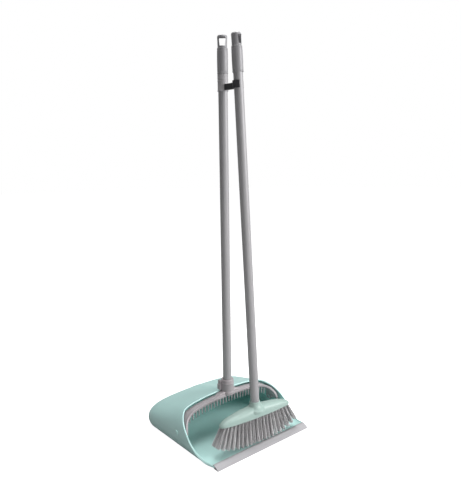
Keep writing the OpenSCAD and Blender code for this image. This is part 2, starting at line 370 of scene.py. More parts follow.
@dataclass(frozen=True)
class SoftExtrusion(Finish):
    """Soft extruded strip: lines along its length, a waxy skin, and a darker tone towards the bottom."""

    def compose(self, graph: Graph) -> None:
        """Draw the material's nodes."""
        lines = graph.noise(620.0, 3.0, (0.012, 1.0, 1.0)).band(0.3, 0.7)
        bloom = graph.noise(30.0, 4.0).band(0.35, 0.7)
        scuffs = graph.noise(95.0, 6.0, (0.35, 1.0, 1.0)).band(0.6, 0.75)
        skin = graph.noise(1700.0, 2.0)
        colour = graph.blend(lines, self.shade(0.94), self.shade(1.04))
        colour = graph.blend(bloom * 0.3, colour, self.shade(1.1))
        colour = graph.blend(scuffs * 0.3, colour, self.shade(0.72))
        # Darker towards the bottom, where the strip's points are marked.
        colour = graph.blend(graph.mark("edge") * 0.35, colour, self.shade(0.8))
        graph.surface(
            {"Specular IOR Level": 0.4},
            {
                "Base Color": colour,
                "Roughness": self.roughness + bloom * 0.08 + scuffs * 0.12,
                "Normal": graph.bump(lines * 0.7 + skin * 0.2 - scuffs * 0.25, 0.07),
            },
        )


@dataclass(frozen=True)
class Bristle(Finish):
    """Split synthetic bristle: each strand has its own tone, and a painted shade darkens it towards the
    root.
    """

    def compose(self, graph: Graph) -> None:
        """Draw the material's nodes."""
        tone = graph.mark("edge")
        root = graph.mark("along")
        fleck = graph.noise(700.0, 2.0).band(0.35, 0.65)
        colour = graph.blend(tone, self.shade(0.52), self.shade(1.55))
        colour = graph.blend(fleck * 0.2, colour, self.shade(1.2))
        # Painted shade: strands are drawn darker towards the root, where they crowd together under the
        # block.
        colour = graph.blend((1 - root) ** 2.0 * 0.45, colour, self.shade(0.45))
        graph.surface(
            {"Specular IOR Level": 0.4},
            {
                "Base Color": colour,
                "Roughness": self.roughness + fleck * 0.1,
                "Normal": graph.bump(fleck, 0.03),
            },
        )


@dataclass(frozen=True)
class StudioPaper(Finish):
    """Pale paper under the set, with a faint tooth.

    Attributes:
        glow: Brightness that only the camera sees.
    """

    glow: float = 0.97

    def compose(self, graph: Graph) -> None:
        """Draw the material's nodes."""
        tooth = graph.noise(320.0, 4.0)
        seen = graph.node("ShaderNodeLightPath", output="Is Camera Ray")
        colour = graph.blend(tooth, self.shade(0.985), self.shade(1.0))
        glow = graph.blend(seen, (0.0, 0.0, 0.0), (1.0, 1.0, 1.0))
        graph.surface(
            {"Specular IOR Level": 0.1, "Emission Strength": self.glow},
            {
                "Base Color": colour,
                "Emission Color": glow,
                "Roughness": self.roughness + tooth * 0.1,
                "Normal": graph.bump(tooth, 0.05),
            },
        )


# The mint's paler marked edges paint a highlight along the pan's rim bead.
MINT = MouldedPlastic("mint plastic", "mint_plastic", "#bbe0dc", 0.38, mottle=0.02, edge_tint=0.22)
PALE_MINT = MouldedPlastic("pale mint plastic", "pale_mint_plastic", "#a3bab3", 0.4, mottle=0.02)
WARM_GREY = MouldedPlastic("warm grey plastic", "warm_grey_plastic", "#aaa3a6", 0.42)
LIGHT_GREY = MouldedPlastic("light grey plastic", "light_grey_plastic", "#b4b2b5", 0.4)
CHARCOAL = MouldedPlastic("charcoal plastic", "charcoal_plastic", "#3c3d41", 0.5, grain=0.03)
STRIP_GREY = SoftExtrusion("soft grey strip", "soft_grey_strip", "#aaa9ac", 0.5)
TUBE_GREY = PowderCoat("coated steel tube", "coated_steel", "#a6a5a7", 0.5)
GRIP_GREY = SparkTexture("grey grip plastic", "grey_grip_plastic", "#9c9b9e", 0.42)
STRAND_GREY = Bristle("grey bristle", "grey_bristles", "#e6e2e5", 0.5)
PAPER = StudioPaper("studio paper", "floor", "#b4b4b4", 0.8)


# ---- mesh making -------------------------------------------------------------------------


def mix(first: np.ndarray, second: np.ndarray, share: np.ndarray) -> np.ndarray:
    """A share of the way from the first value to the second."""
    return first * (1 - share) + second * share


def ease(share: np.ndarray) -> np.ndarray:
    """Smooth step of a share held to 0..1."""
    held = np.clip(share, 0.0, 1.0)
    return held * held * (3 - 2 * held)


def filleted(corners: Sequence[Flat], radius: float, steps: int = 4, closed: bool = True) -> Profile:
    """Round the corners of an outline.

    Args:
        corners: The outline's corners in order.
        radius: How far from a corner its rounding starts, where the sides are long enough.
        steps: Pieces in each rounding.
        closed: Whether the outline closes on itself.

    Returns:
        The outline with rounded corners.
    """
    spots = [np.array(c, float) for c in corners]
    result: Profile = []
    for i, spot in enumerate(spots):
        if not closed and i in (0, len(spots) - 1):
            result.append(tuple(spot))
            continue
        back, ahead = spots[i - 1] - spot, spots[(i + 1) % len(spots)] - spot
        lengths = [max(float(np.linalg.norm(side)), 1e-9) for side in (back, ahead)]
        reach = min(radius, 0.45 * lengths[0], 0.45 * lengths[1])
        start, end = spot + back / lengths[0] * reach, spot + ahead / lengths[1] * reach
        for k in range(steps + 1):
            t = k / steps
            result.append(tuple((1 - t) ** 2 * start + 2 * t * (1 - t) * spot + t * t * end))
    return result


class Maker:
    """Gathers points and faces in millimetres and turns them into one piece."""

    def __init__(self) -> None:
        """Start with nothing."""
        self.points: list[np.ndarray] = []
        self.marks: dict[str, list[np.ndarray]] = {"edge": [], "along": []}
        self.faces: list[tuple[int, ...]] = []
        self.count = 0

    def add(self, points: np.ndarray, **marks: np.ndarray) -> int:
        """Add points with their marks.

        Args:
            points: Points in millimetres.
            **marks: One number for each point, or one for them all.

        Returns:
            The number of the first point.
        """
        start = self.count
        flat = np.asarray(points, float).reshape(-1, 3)
        self.points.append(flat)
        for name, kept in self.marks.items():
            kept.append(np.broadcast_to(np.asarray(marks.get(name, 0.0), float).reshape(-1), len(flat)))
        self.count += len(flat)
        return start

    def grid(
        self, points: np.ndarray, wrap_rows: bool = False, wrap_cols: bool = False, **marks: np.ndarray
    ) -> int:
        """Add a grid of four-sided faces.

        Args:
            points: Points as rows by columns by 3.
            wrap_rows: Whether the last row joins the first.
            wrap_cols: Whether the last column joins the first.
            **marks: Marks of the points.

        Returns:
            The number of the first point.
        """
        rows, cols = points.shape[:2]
        start = self.add(points, **marks)
        for r in range(rows if wrap_rows else rows - 1):
            this, following = start + r * cols, start + (r + 1) % rows * cols
            for c in range(cols if wrap_cols else cols - 1):
                d = (c + 1) % cols
                self.faces.append((this + c, this + d, following + d, following + c))
        return start

    def loft(self, points: np.ndarray, **marks: np.ndarray) -> None:
        """Add rows that each close on themselves, with a face over each end.

        Args:
            points: Points as rows by columns by 3.
            **marks: Marks of the points.
        """
        rows, cols = points.shape[:2]
        start = self.grid(points, wrap_cols=True, **marks)
        for end in (start, start + (rows - 1) * cols):
            self.faces.append(tuple(range(end, end + cols)))

    def turn(
        self,
        profile: Sequence[Flat],
        closed: bool = False,
        place: Union[np.ndarray, None] = None,
        steps: int = ROUND_STEPS,
        edge: float = 0.0,
    ) -> None:
        """Turn a profile of (radius, height) about the Z axis.

        Args:
            profile: The profile's points.
            closed: Whether the profile is a closed loop, as for a tube.
            place: A 4 by 4 matrix that moves the result.
            steps: Points round the axis.
            edge: Edge mark of the points.
        """
        angle = np.linspace(0, 2 * math.pi, steps, endpoint=False)[:, None]
        flat = np.array(profile, float)
        points = np.stack(
            [np.cos(angle) * flat[:, 0], np.sin(angle) * flat[:, 0], np.ones_like(angle) * flat[:, 1]], -1
        )
        self.grid(moved(points, place), wrap_rows=True, wrap_cols=closed, edge=edge)

    def prism(
        self, outline: Profile, stations: np.ndarray, holes: Sequence[Profile] = (), edge: float = 0.0
    ) -> None:
        """Sweep a flat outline through stations.

        Args:
            outline: The outer loop.
            stations: One 4 by 4 matrix for each copy of the outline, which lies in XY.
            holes: Inner loops, which run the whole way.
            edge: Edge mark of the points.
        """
        ends: list[list[int]] = [[], []]
        for loop in (outline, *holes):
            flat = np.c_[np.array(loop, float), np.zeros(len(loop))]
            start = self.grid(np.stack([moved(flat, m) for m in stations]), wrap_cols=True, edge=edge)
            last = start + (len(stations) - 1) * len(loop)
            ends[0] += range(start, start + len(loop))
            ends[1] += range(last, last + len(loop))
        loops = [[Vector((x, y, 0.0)) for x, y in loop] for loop in (outline, *holes)]
        for triangle in tessellate_polygon(loops):
            self.faces.append(tuple(ends[0][i] for i in triangle))
            self.faces.append(tuple(ends[1][i] for i in reversed(triangle)))

    def made(self, name: str, sharp: float = 38.0) -> bpy.types.Object:
        """Make the object, in metres, at the origin.

        Args:
            name: The piece's name.
            sharp: Angle in degrees above which an edge shows.

        Returns:
            The new object.
        """
        mesh = bpy.data.meshes.new(name)
        mesh.from_pydata((np.vstack(self.points) * MM).tolist(), [], self.faces)
        for mark, kept in self.marks.items():
            values = np.concatenate(kept)
            if values.any():
                mesh.attributes.new(mark, "FLOAT", "POINT").data.foreach_set(
                    "value", values.astype(np.float32)
                )
        work = bmesh.new()
        work.from_mesh(mesh)
        bmesh.ops.remove_doubles(work, verts=work.verts, dist=1e-7)
        bmesh.ops.recalc_face_normals(work, faces=work.faces)
        work.to_mesh(mesh)
        work.free()
        smoothed(mesh, sharp)
        piece = bpy.data.objects.new(name, mesh)
        bpy.context.scene.collection.objects.link(piece)
        return piece


def moved(points: np.ndarray, place: Union[np.ndarray, None]) -> np.ndarray:
    """Points moved by a 4 by 4 matrix in millimetres."""
    if place is None:
        return np.asarray(points, float)
    return points @ place[:3, :3].T + place[:3, 3]


def matrix(*steps: Matrix) -> np.ndarray:
    """The product of matrices as an array."""
    whole = Matrix.Identity(4)
    for step in steps:
        whole = whole @ step
    return np.array(whole)


def shift(x: float = 0.0, y: float = 0.0, z: float = 0.0) -> Matrix:
    """A move in millimetres."""
    return Matrix.Translation((x, y, z))


def spin(degrees: float, axis: str) -> Matrix:
    """A turn about an axis."""
    return Matrix.Rotation(math.radians(degrees), 4, axis)


def smoothed(mesh: bpy.types.Mesh, sharp: float) -> None:
    """Shade a mesh smooth, apart from its sharp edges.

    Args:
        mesh: The mesh.
        sharp: Angle in degrees above which an edge shows.
    """
    mesh.polygons.foreach_set("use_smooth", [True] * len(mesh.polygons))
    mesh.set_sharp_from_angle(angle=math.radians(sharp))
    mesh.update()


def applied(piece: bpy.types.Object, sharp: float = 38.0) -> None:
    """Turn a piece's modifiers into plain mesh.

    Args:
        piece: The object.
        sharp: Angle in degrees above which an edge shows.
    """
    bpy.context.view_layer.update()
    graph = bpy.context.evaluated_depsgraph_get()
    old, name = piece.data, piece.data.name
    piece.data = bpy.data.meshes.new_from_object(piece.evaluated_get(graph), depsgraph=graph)
    piece.modifiers.clear()
    bpy.data.meshes.remove(old)
    piece.data.name = name
    smoothed(piece.data, sharp)


def cut(piece: bpy.types.Object, tool: bpy.types.Object) -> None:
    """Take a tool's shape out of a piece.

    Args:
        piece: The object that is cut.
        tool: The shape taken out, which is removed.
    """
    step = piece.modifiers.new("cut", "BOOLEAN")
    step.operation, step.object, step.solver = "DIFFERENCE", tool, "EXACT"
    applied(piece)
    mesh = tool.data
    bpy.data.objects.remove(tool)
    bpy.data.meshes.remove(mesh)


def bevelled(piece: bpy.types.Object, width: float, steps: int = 3) -> None:
    """Round a piece's edges.

    Args:
        piece: The object.
        width: Width of the rounding in millimetres.
        steps: Faces across it.
    """
    step = piece.modifiers.new("rounded edges", "BEVEL")
    step.width, step.segments = width * MM, steps
    step.limit_method, step.angle_limit = "ANGLE", math.radians(40)
    applied(piece)


def settle(
    piece: bpy.types.Object, finish: Finish, body: Body, replaced: Sequence[str] = ()
) -> None:
    """Dress a piece and give it its place in the model.

    Args:
        piece: The object.
        finish: What it is made of.
        body: The body it moves with.
        replaced: CAD nodes that it stands for.
    """
    piece.data.materials.clear()
    piece.data.materials.append(finish.material())
    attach(piece, body.value)
    if replaced:
        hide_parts(*replaced)
    LOG.info("%s: %d faces on %s", piece.name, len(piece.data.polygons), body.value)


# ---- the pan -----------------------------------------------------------------------------


@dataclass
class HoodArch:
    """The outline that the hood and the comb's hoop share, as shares of half width and height.

    Attributes:
        order: How square the arch is.
        crown: Fall of its top towards the sides.
        side_top: Height share where the side ends and the top begins.
        flare: Share by which the walls lean in at the floor.
    """

    order: float = 4.4
    crown: float = 0.09
    side_top: float = 0.86
    flare: float = 0.0615

    def top(self, share: np.ndarray) -> np.ndarray:
        """Height share of the top at a share of the half width."""
        level = (1 - np.abs(share) ** self.order) ** (1 / self.order)
        return level * (1 - self.crown * np.abs(share) ** 1.2)

    def side(self, level: np.ndarray) -> np.ndarray:
        """(share of half width, height share) up the side."""
        share = (1 - level**self.order) ** (1 / self.order)
        return np.stack([share, level * (1 - self.crown * share**1.2)], -1)

    def lean(self, level: np.ndarray) -> np.ndarray:
        """Factor on the half width, where the walls lean outwards from the floor."""
        return 1 - self.flare * np.maximum(0.0, 1 - level / 0.4) ** 2

    def outline(self, side_steps: int, top_at: np.ndarray) -> np.ndarray:
        """The arch from the foot on the left, over the top, to the foot on the right.

        Args:
            side_steps: Points up each side.
            top_at: Shares of the top's own half width at which it has points.

        Returns:
            Points as (share of half width, height share).
        """
        rise = self.side_top * (np.arange(side_steps) / side_steps) ** 1.9
        side = self.side(rise)
        reach = self.side(np.array([self.side_top]))[0, 0]
        top = np.stack([top_at * reach, self.top(top_at * reach)], -1)
        return np.vstack([side * [-1, 1], top, side[::-1]])


@dataclass
class Pan:
    """The mint pan with its hood, its soft lip strip and its two pin caps.

    Attributes:
        width: Width over the hood.
        depth: Depth of the hood and the strip.
        height: Height of the hood at its mouth.
        drop: Fall of the hood towards the back.
        wall: Wall thickness.
        back_r: Radius of the back corners.
        top_r: Radius where the top turns down at the back.
        foot_r: Radius of the lower edges.
        edge_y: Front edge of the floor.
        yoke_y: Place of the pivots, front to back.
        pivot_z: Height of the pivots.
        ramp_h: Lift of the floor at its front edge.
        ramp_l: Length of that lift.
        mouth_back: Where the hood's front edge lies on top.
        mouth_step: How far the rim runs back in its first bend.
        bead: How far the rim's bead stands out.
        notch_r: Radius of the notch round the pole's socket.
        strip_l: Length of the soft strip.
        rings: Sections from the mouth to the back.
        floor_steps: Points across the floor.
        pin_r: Radius of a pivot pin's shaft.
        head_r: Radius of a pin's head.
        seat: Depth of a head's seat from the widest place.
    """

    width: float = 312.0
    depth: float = 300.0
    height: float = 98.0
    drop: float = 43.0
    wall: float = 2.4
    back_r: float = 46.0
    top_r: float = 32.0
    foot_r: float = 4.0
    edge_y: float = -137.0
    yoke_y: float = POLE_Y
    pivot_z: float = 37.0
    ramp_h: float = 4.0
    ramp_l: float = 30.0
    mouth_back: float = -1.0
    mouth_step: float = 54.0
    bead: float = 0.7
    notch_r: float = 17.5
    strip_l: float = 284.0
    rings: int = 56
    floor_steps: int = 16
    pin_r: float = 4.0
    head_r: float = 6.4
    seat: float = 1.6

    def __post_init__(self) -> None:
        """Lay out the arch, with closer points near the notch."""
        self.form = HoodArch()
        reach = self.form.side(np.array([self.form.side_top]))[0, 0] * self.width / 2
        close = np.linspace(-21, 21, 29) / reach
        self.arch = self.form.outline(30, np.unique(np.r_[np.linspace(-1, 1, 41), close]))

    def _mouth(self, share: np.ndarray, level: np.ndarray) -> np.ndarray:
        """Front-to-back place of the rim.

        Args:
            share: Shares of the half width.
            level: Shares of the height.

        Returns:
            The rim's place at each, with the notch behind the pole's socket.
        """
        run = self.mouth_back - self.edge_y - self.mouth_step
        rim = self.edge_y + self.mouth_step * (1 - np.exp(-level / 0.05))
        rim = np.minimum(self.mouth_back, rim + run * np.minimum(level / 0.84, 1) ** 1.5)
        across = share * self.width / 2
        notch = self.yoke_y + np.sqrt(np.maximum(0.0, self.notch_r**2 - across**2))
        return np.where((level > 0.8) & (np.abs(across) < self.notch_r), np.maximum(rim, notch), rim)

    @staticmethod
    def _turn_in(y: np.ndarray, radius: float, stop: float) -> np.ndarray:
        """Inset of a rounded end that finishes at stop."""
        over = np.clip(y - stop + radius, 0.0, radius)
        return radius - np.sqrt(radius**2 - over**2)

    def _ring(self, q: float, t: float, ahead: float = 0.0) -> np.ndarray:
        """One closed section of the wall.

        Args:
            q: 0 at the mouth and 1 at the back.
            t: Depth below the outer surface.
            ahead: How far in front of the rim the section starts.

        Returns:
            Its points, round from the left foot over the top and back along the floor.
        """
        share, level = self.arch[:, 0], self.arch[:, 1]
        stop, foot = self.depth / 2 - t, self.foot_r - t
        floor_x = np.linspace(1, -1, self.floor_steps + 1)[1:-1]
        share = np.r_[share, floor_x]
        level = np.r_[level, np.zeros(len(floor_x))]
        y = mix(self._mouth(share, level) - ahead, stop, q)
        lift = self.ramp_h * (1 - ease((y - self.edge_y) / self.ramp_l))
        low = lift + t + self._turn_in(y, foot, stop)
        top = self.height - self.drop * q - t - self._turn_in(y, self.top_r - t, stop)
        z = mix(low, top, level)
        half = (self.width / 2 - t - self._turn_in(y, self.back_r - t, stop)) * self.form.lean(level)
        rise = np.clip(foot - (z - low), 0.0, foot)
        inset = foot - np.sqrt(foot**2 - rise**2)
        reach = np.where(level > 0, np.abs(share) * half - inset, np.abs(share) * (half - foot))
        return np.stack([np.sign(share) * reach, y, z], -1)

    def _pivot(self, side: int) -> np.ndarray:
        """Matrix to a pin's seat, with its axis pointing out of the pan."""
        out = side * (self.width / 2 - self.seat)
        return matrix(shift(out, self.yoke_y, self.pivot_z), spin(side * 90, "Y"))

    def shell(self) -> None:
        """The pan's body: a thin wall with a beaded rim, cut for the two pins."""
        maker = Maker()
        close_to_rim = (0.006, 0.012)
        shares = np.sin(np.linspace(0, math.pi / 2, self.rings))
        shares = np.unique(np.r_[shares, close_to_rim])
        outer = [self._ring(q, 0.0) for q in shares[1:]]
        inner = [self._ring(q, self.wall) for q in shares[1:]]
        radius = self.wall / 2 + self.bead
        lip = []
        for angle in np.linspace(0, math.pi, 9):
            t = self.wall / 2 - radius * math.cos(angle)
            lip.append(self._ring(0.0, t, radius * math.sin(angle) - self.bead))
        rows = np.stack([*outer[::-1], *lip, *inner])
        # The bead's rows, and more faintly the rows beside them, are marked to be drawn paler: a painted
        # highlight along the rim.
        edge = np.zeros(rows.shape[:2])
        edge[len(outer) : len(outer) + len(lip)] = 1.0
        edge[len(outer) - 1] = edge[len(outer) + len(lip)] = 0.35
        maker.loft(rows, edge=edge)
        piece = maker.made("pan_body", 50.0)
        tool = Maker()
        bore, rim, long = self.pin_r, self.head_r + 0.5, 12
        drill = [(0, -long), (bore, -long), (bore, 0), (rim, 0), (rim, long), (0, long)]
        for side in (-1, 1):
            tool.turn(drill, place=self._pivot(side))
        cut(piece, tool.made("pin_seats"))
        settle(piece, MINT, Body.PAN, ["pan_shell"])

    def pin_cap(self, side: int, name: str, node: str) -> None:
        """One domed cap on a pivot, with a fine ring pressed in it.

        Args:
            side: -1 on the left and 1 on the right.
            name: The piece's name.
            node: The CAD node it stands for.
        """
        shank, head, rim, rise, pressed = self.pin_r - RUN_CLEAR, self.head_r, 1.1, 1.5, 0.22
        body = [(0, -11.4), (shank - 0.6, -11.4), (shank, -10.8), (shank, 0), (head, 0), (head, rim)]
        rounds = np.linspace(0.12, math.pi / 2, 14)
        dome = [(head * math.cos(a), rim + rise * math.sin(a)) for a in rounds]
        dome[6:8] = [(r, z - pressed) for r, z in dome[6:8]]
        maker = Maker()
        maker.turn([*body, *dome[:-1], (0, rim + rise)], place=self._pivot(side), edge=0.3)
        settle(maker.made(name, 50.0), MINT, Body.PAN, [node])

    def strip(self) -> None:
        """The soft hollow strip: a grooved ramp in front and a lip that grips the floor's edge."""
        front, edge = -self.depth / 2, self.edge_y
        slot = self.ramp_h + self.wall + 2 * RUN_CLEAR
        crest = slot + 1.4
        run, rise, grooves, end_height = edge - front, crest - 0.4, 7, 0.988
        ramp = []
        for share in np.linspace(0, 1, 29):
            groove = 0.22 * (math.cos(share * 2 * math.pi * grooves) < -0.35) * (0.12 < share < 0.9)
            swell = 0.5 * math.sin(math.pi * share)
            ramp.append((front + run * share, 0.4 + rise * share + swell - groove))
        tail = [
            (edge + 3, crest), (edge + 5, crest - 0.1), (edge + 7, slot + 0.6), (edge + 6.8, slot),
            (edge - 1, slot), (edge - 1, self.ramp_h - 0.66), (edge + 3, 1.2), (edge + 3, 0),
            (front + 0.8, 0),
        ]
        hollow = filleted([(front + 2.9, 0.8), (edge - 2.0, 0.8), (edge - 2.0, 6.1)], 0.8)
        half = self.strip_l / 2
        stations = []
        for x in np.r_[-half, -half + 0.5, np.linspace(-half + 6, half - 6, 60), half - 0.5, half]:
            is_end = abs(x) > half - 0.2
            turned = np.eye(4)
            turned[:3, :3] = [[0, 0, 1], [1, 0, 0], [0, end_height if is_end else 1.0, 0]]
            turned[1, 3] = 0.0 if is_end else max(0.12 * math.sin(x * 0.11), 0.0)
            stations.append(matrix(shift(x)) @ turned)
        maker = Maker()
        maker.prism([*ramp, *tail], stations, [hollow])
        piece = maker.made("soft_strip", 30.0)
        # Points in the lowest 2.2 mm are marked, more strongly lower down, so the strip is drawn darker
        # towards the bottom.
        edge_tint = np.array([1 - min(1.0, max(0.0, (v.co.z / MM) / 2.2)) for v in piece.data.vertices])
        piece.data.attributes.new("edge", "FLOAT", "POINT").data.foreach_set(
            "value", edge_tint.astype(np.float32)
        )
        settle(piece, STRIP_GREY, Body.PAN, ["lip_strip"])

    def build(self) -> None:
        """Build the pan's pieces."""
        self.shell()
        self.pin_cap(-1, "left_pin_cap", "left_pivot_pin")
        self.pin_cap(1, "right_pin_cap", "right_pivot_pin")
        self.strip()


# ---- the comb yoke -----------------------------------------------------------------------


@dataclass
class CombYoke:
    """The grey hoop that combs the bristles and carries the pole, with its socket and catch.

    Attributes:
        half: Half width over the hoop.
        top: Height of the hoop.
        depth: Depth of the hoop, front to back.
        thick: Thickness of the hoop.
        y: Place of the hoop, front to back.
        pivot_z: Height of its pivots.
        tooth_l: Length of a tooth.
        pitch: Distance between teeth.
        boss_r: Radius of the end bosses.
        boss_l: Length of the end bosses.
        socket_r: Radius of the pole's socket.
        socket_top: Height of the socket's top.
        latch_z: Height of the catch's foot.
    """

    half: float = 148.6
    top: float = 90.6
    depth: float = 20.0
    thick: float = 5.5
    y: float = POLE_Y
    pivot_z: float = 37.0
    tooth_l: float = 19.0
    pitch: float = 9.2
    boss_r: float = 10.0
    boss_l: float = 7.0
    socket_r: float = 16.0
    socket_top: float = 126.0
    latch_z: float = 101.0

    def __post_init__(self) -> None:
        """Share the hood's arch, and set how far forward the hoop reaches at each height."""
        self.form = HoodArch()
        self.cheek = ((37.0, 40.0, 53.0, 66.0, 78.0), (29.7, 30.3, 25.7, 16.5, 10.0))

    def _under(self, x: float) -> float:
        """Height of the hoop's underside."""
        inner = self.half - self.thick
        return (self.top - self.thick) * float(self.form.top(np.array(x / inner)))

    def hoop(self) -> None:
        """The hoop, with a raised lip along its front and back, and its two bosses."""
        arch = self.form.outline(40, np.linspace(-1, 1, 81))
        rim = np.stack([self.half * arch[:, 0] * self.form.lean(arch[:, 1]), self.top * arch[:, 1]], -1)
        rim = rim[rim[:, 1] > self.pivot_z]
        rim = np.vstack([[rim[0, 0], self.pivot_z], rim, [rim[-1, 0], self.pivot_z]])
        along = np.gradient(rim, axis=0)
        along /= np.linalg.norm(along, axis=1)[:, None]
        outward = np.stack([-along[:, 1], along[:, 0]], -1)
        back, t = self.depth / 2, self.thick
        rows, edge_tint = [], []
        for spot, normal in zip(rim, outward):
            front = float(np.interp(spot[1], *self.cheek))
            section = filleted(
                [
                    (-front, -t), (-front, 0.3), (-front + 1.5, 0.3), (-front + 2.4, -0.9),
                    (back - 2.5, -0.9), (back - 1.8, 0), (back, 0), (back, -t),
                ],
                0.8,
                3,
            )
            (x, z), (across, up) = spot, normal
            rows.append([(x + across * n, self.y + s, z + up * n) for s, n in section])
            # Points along the front lip are marked to be drawn paler: a painted highlight on the hoop's
            # front edge.
            edge_tint.append([0.8 if s < -front + 1.9 and n > -0.6 else 0.0 for s, n in section])
        maker = Maker()
        maker.loft(np.array(rows), edge=np.array(edge_tint))
        r, l, bore = self.boss_r, self.boss_l, 4.0
        ring = [(bore, 0), (r, 0), (r, l), (r - 2, l), (r - 2.6, l - 0.7), (bore, l - 0.7)]
        for side in (-1, 1):
            out = side * (self.half - l)
            place = matrix(shift(out, self.y, self.pivot_z), spin(side * 90, "Y"))
            maker.turn(filleted(ring, 0.8), closed=True, place=place)
        settle(maker.made("comb_hoop"), WARM_GREY, Body.HANDLE, ["comb_yoke"])

    def teeth(self) -> None:
        """The comb's teeth: tapered pegs with flared roots and round tips."""
        maker = Maker()
        number = math.floor((self.half - 26) / self.pitch)
        long, tip, sunk, last_rib = self.tooth_l + 1, 1.1, 1.2, 100
        tooth = [(0, 0.2), (3.3, 0.2), (2.9, 1.4), (2.4, 2.2), (2.15, 3.2), (1.55, long * 0.65)]
        rounds = np.linspace(0, 1.57, 6)[:-1]
        tooth += [(tip * math.cos(a), long - tip + math.sin(a)) for a in rounds]
        rib = filleted([(-1, 0.6), (1, 0.6), (0.7, -0.7), (-0.7, -0.7)], 0.5, 3)
        for i in range(-number, number + 1):
            x = i * self.pitch
            top = self._under(x) + sunk
            place = matrix(shift(x, self.y - self.depth / 4, top), spin(180, "X"))
            maker.turn([*tooth, (0, long - 0.1)], place=place, steps=16, edge=0.12)
            if abs(x) < last_rib:
                ends = (top - sunk, top + self.thick - 2 * sunk)
                face = self.y - self.depth / 2
                maker.prism(rib, [matrix(shift(x, face, z)) for z in ends], edge=0.25)
        settle(maker.made("comb_teeth", 60.0), WARM_GREY, Body.HANDLE)

    def socket(self) -> None:
        """The pole's socket: rings at its foot and top, and a saddle that spreads on the hoop."""
        maker = Maker()
        r, low, high = self.socket_r, self.top - 3, self.socket_top
        outer = [
            (r + 1.2, low), (r + 1.2, low + 7), (r, low + 9), (r - 0.3, high - 12),
            (r + 0.4, high - 11), (r + 0.4, high - 8.5), (r - 0.3, high - 7.6), (r - 0.4, high - 1.4),
            (r - 1.6, high), (POLE_R + 0.8, high), (POLE_R + 0.05, high - 0.8), (POLE_R + 0.05, low),
        ]
        maker.turn(filleted(outer, 0.7, 3), closed=True, place=matrix(shift(0, self.y, 0)), edge=0.1)
        spread = 48.0
        rows = []
        for x in np.linspace(-spread, spread, 49):
            lift = 9.0 * float(ease(np.array(1 - (abs(x) - r * 0.9) / (spread - r))))
            deep = self.depth / 2 - 0.6 - 1.6 * float(ease(np.array(abs(x) / spread)))
            base = self._under(x) + self.thick - 1.4
            rise = [(-deep, 0), (-deep, lift * 0.7), (-deep + 2.2, lift)]
            ridge = filleted([*rise, *[(-s, h) for s, h in reversed(rise)]], 2.0, 4, closed=False)
            rows.append([(x, self.y + s, base + h) for s, h in ridge])
        maker.loft(np.array(rows))
        settle(maker.made("pole_socket", 34.0), WARM_GREY, Body.HANDLE)

    def catch(self) -> None:
        """The stepped catch beside the socket."""
        left, step = -self.socket_r - 4, 13.0
        foot, right, high = left - 2.5, left + 6.5, 23
        outline = [(foot, 0), (right, 0), (right, high), (left, high), (left, step + 1.5), (foot, step)]
        maker = Maker()
        ends = (self.y + 2.0, self.y + 12.0)
        stations = [matrix(shift(0, y, self.latch_z)) @ STAND_UP for y in ends]
        maker.prism(filleted(outline, 0.9, 3), stations)
        piece = maker.made("pole_catch")
        bevelled(piece, 0.7)
        settle(piece, WARM_GREY, Body.HANDLE, ["pan_latch"])

    def build(self) -> None:
        """Build the yoke's pieces."""
        self.hoop()
        self.teeth()
        self.socket()
        self.catch()


# ---- poles -------------------------------------------------------------------------------


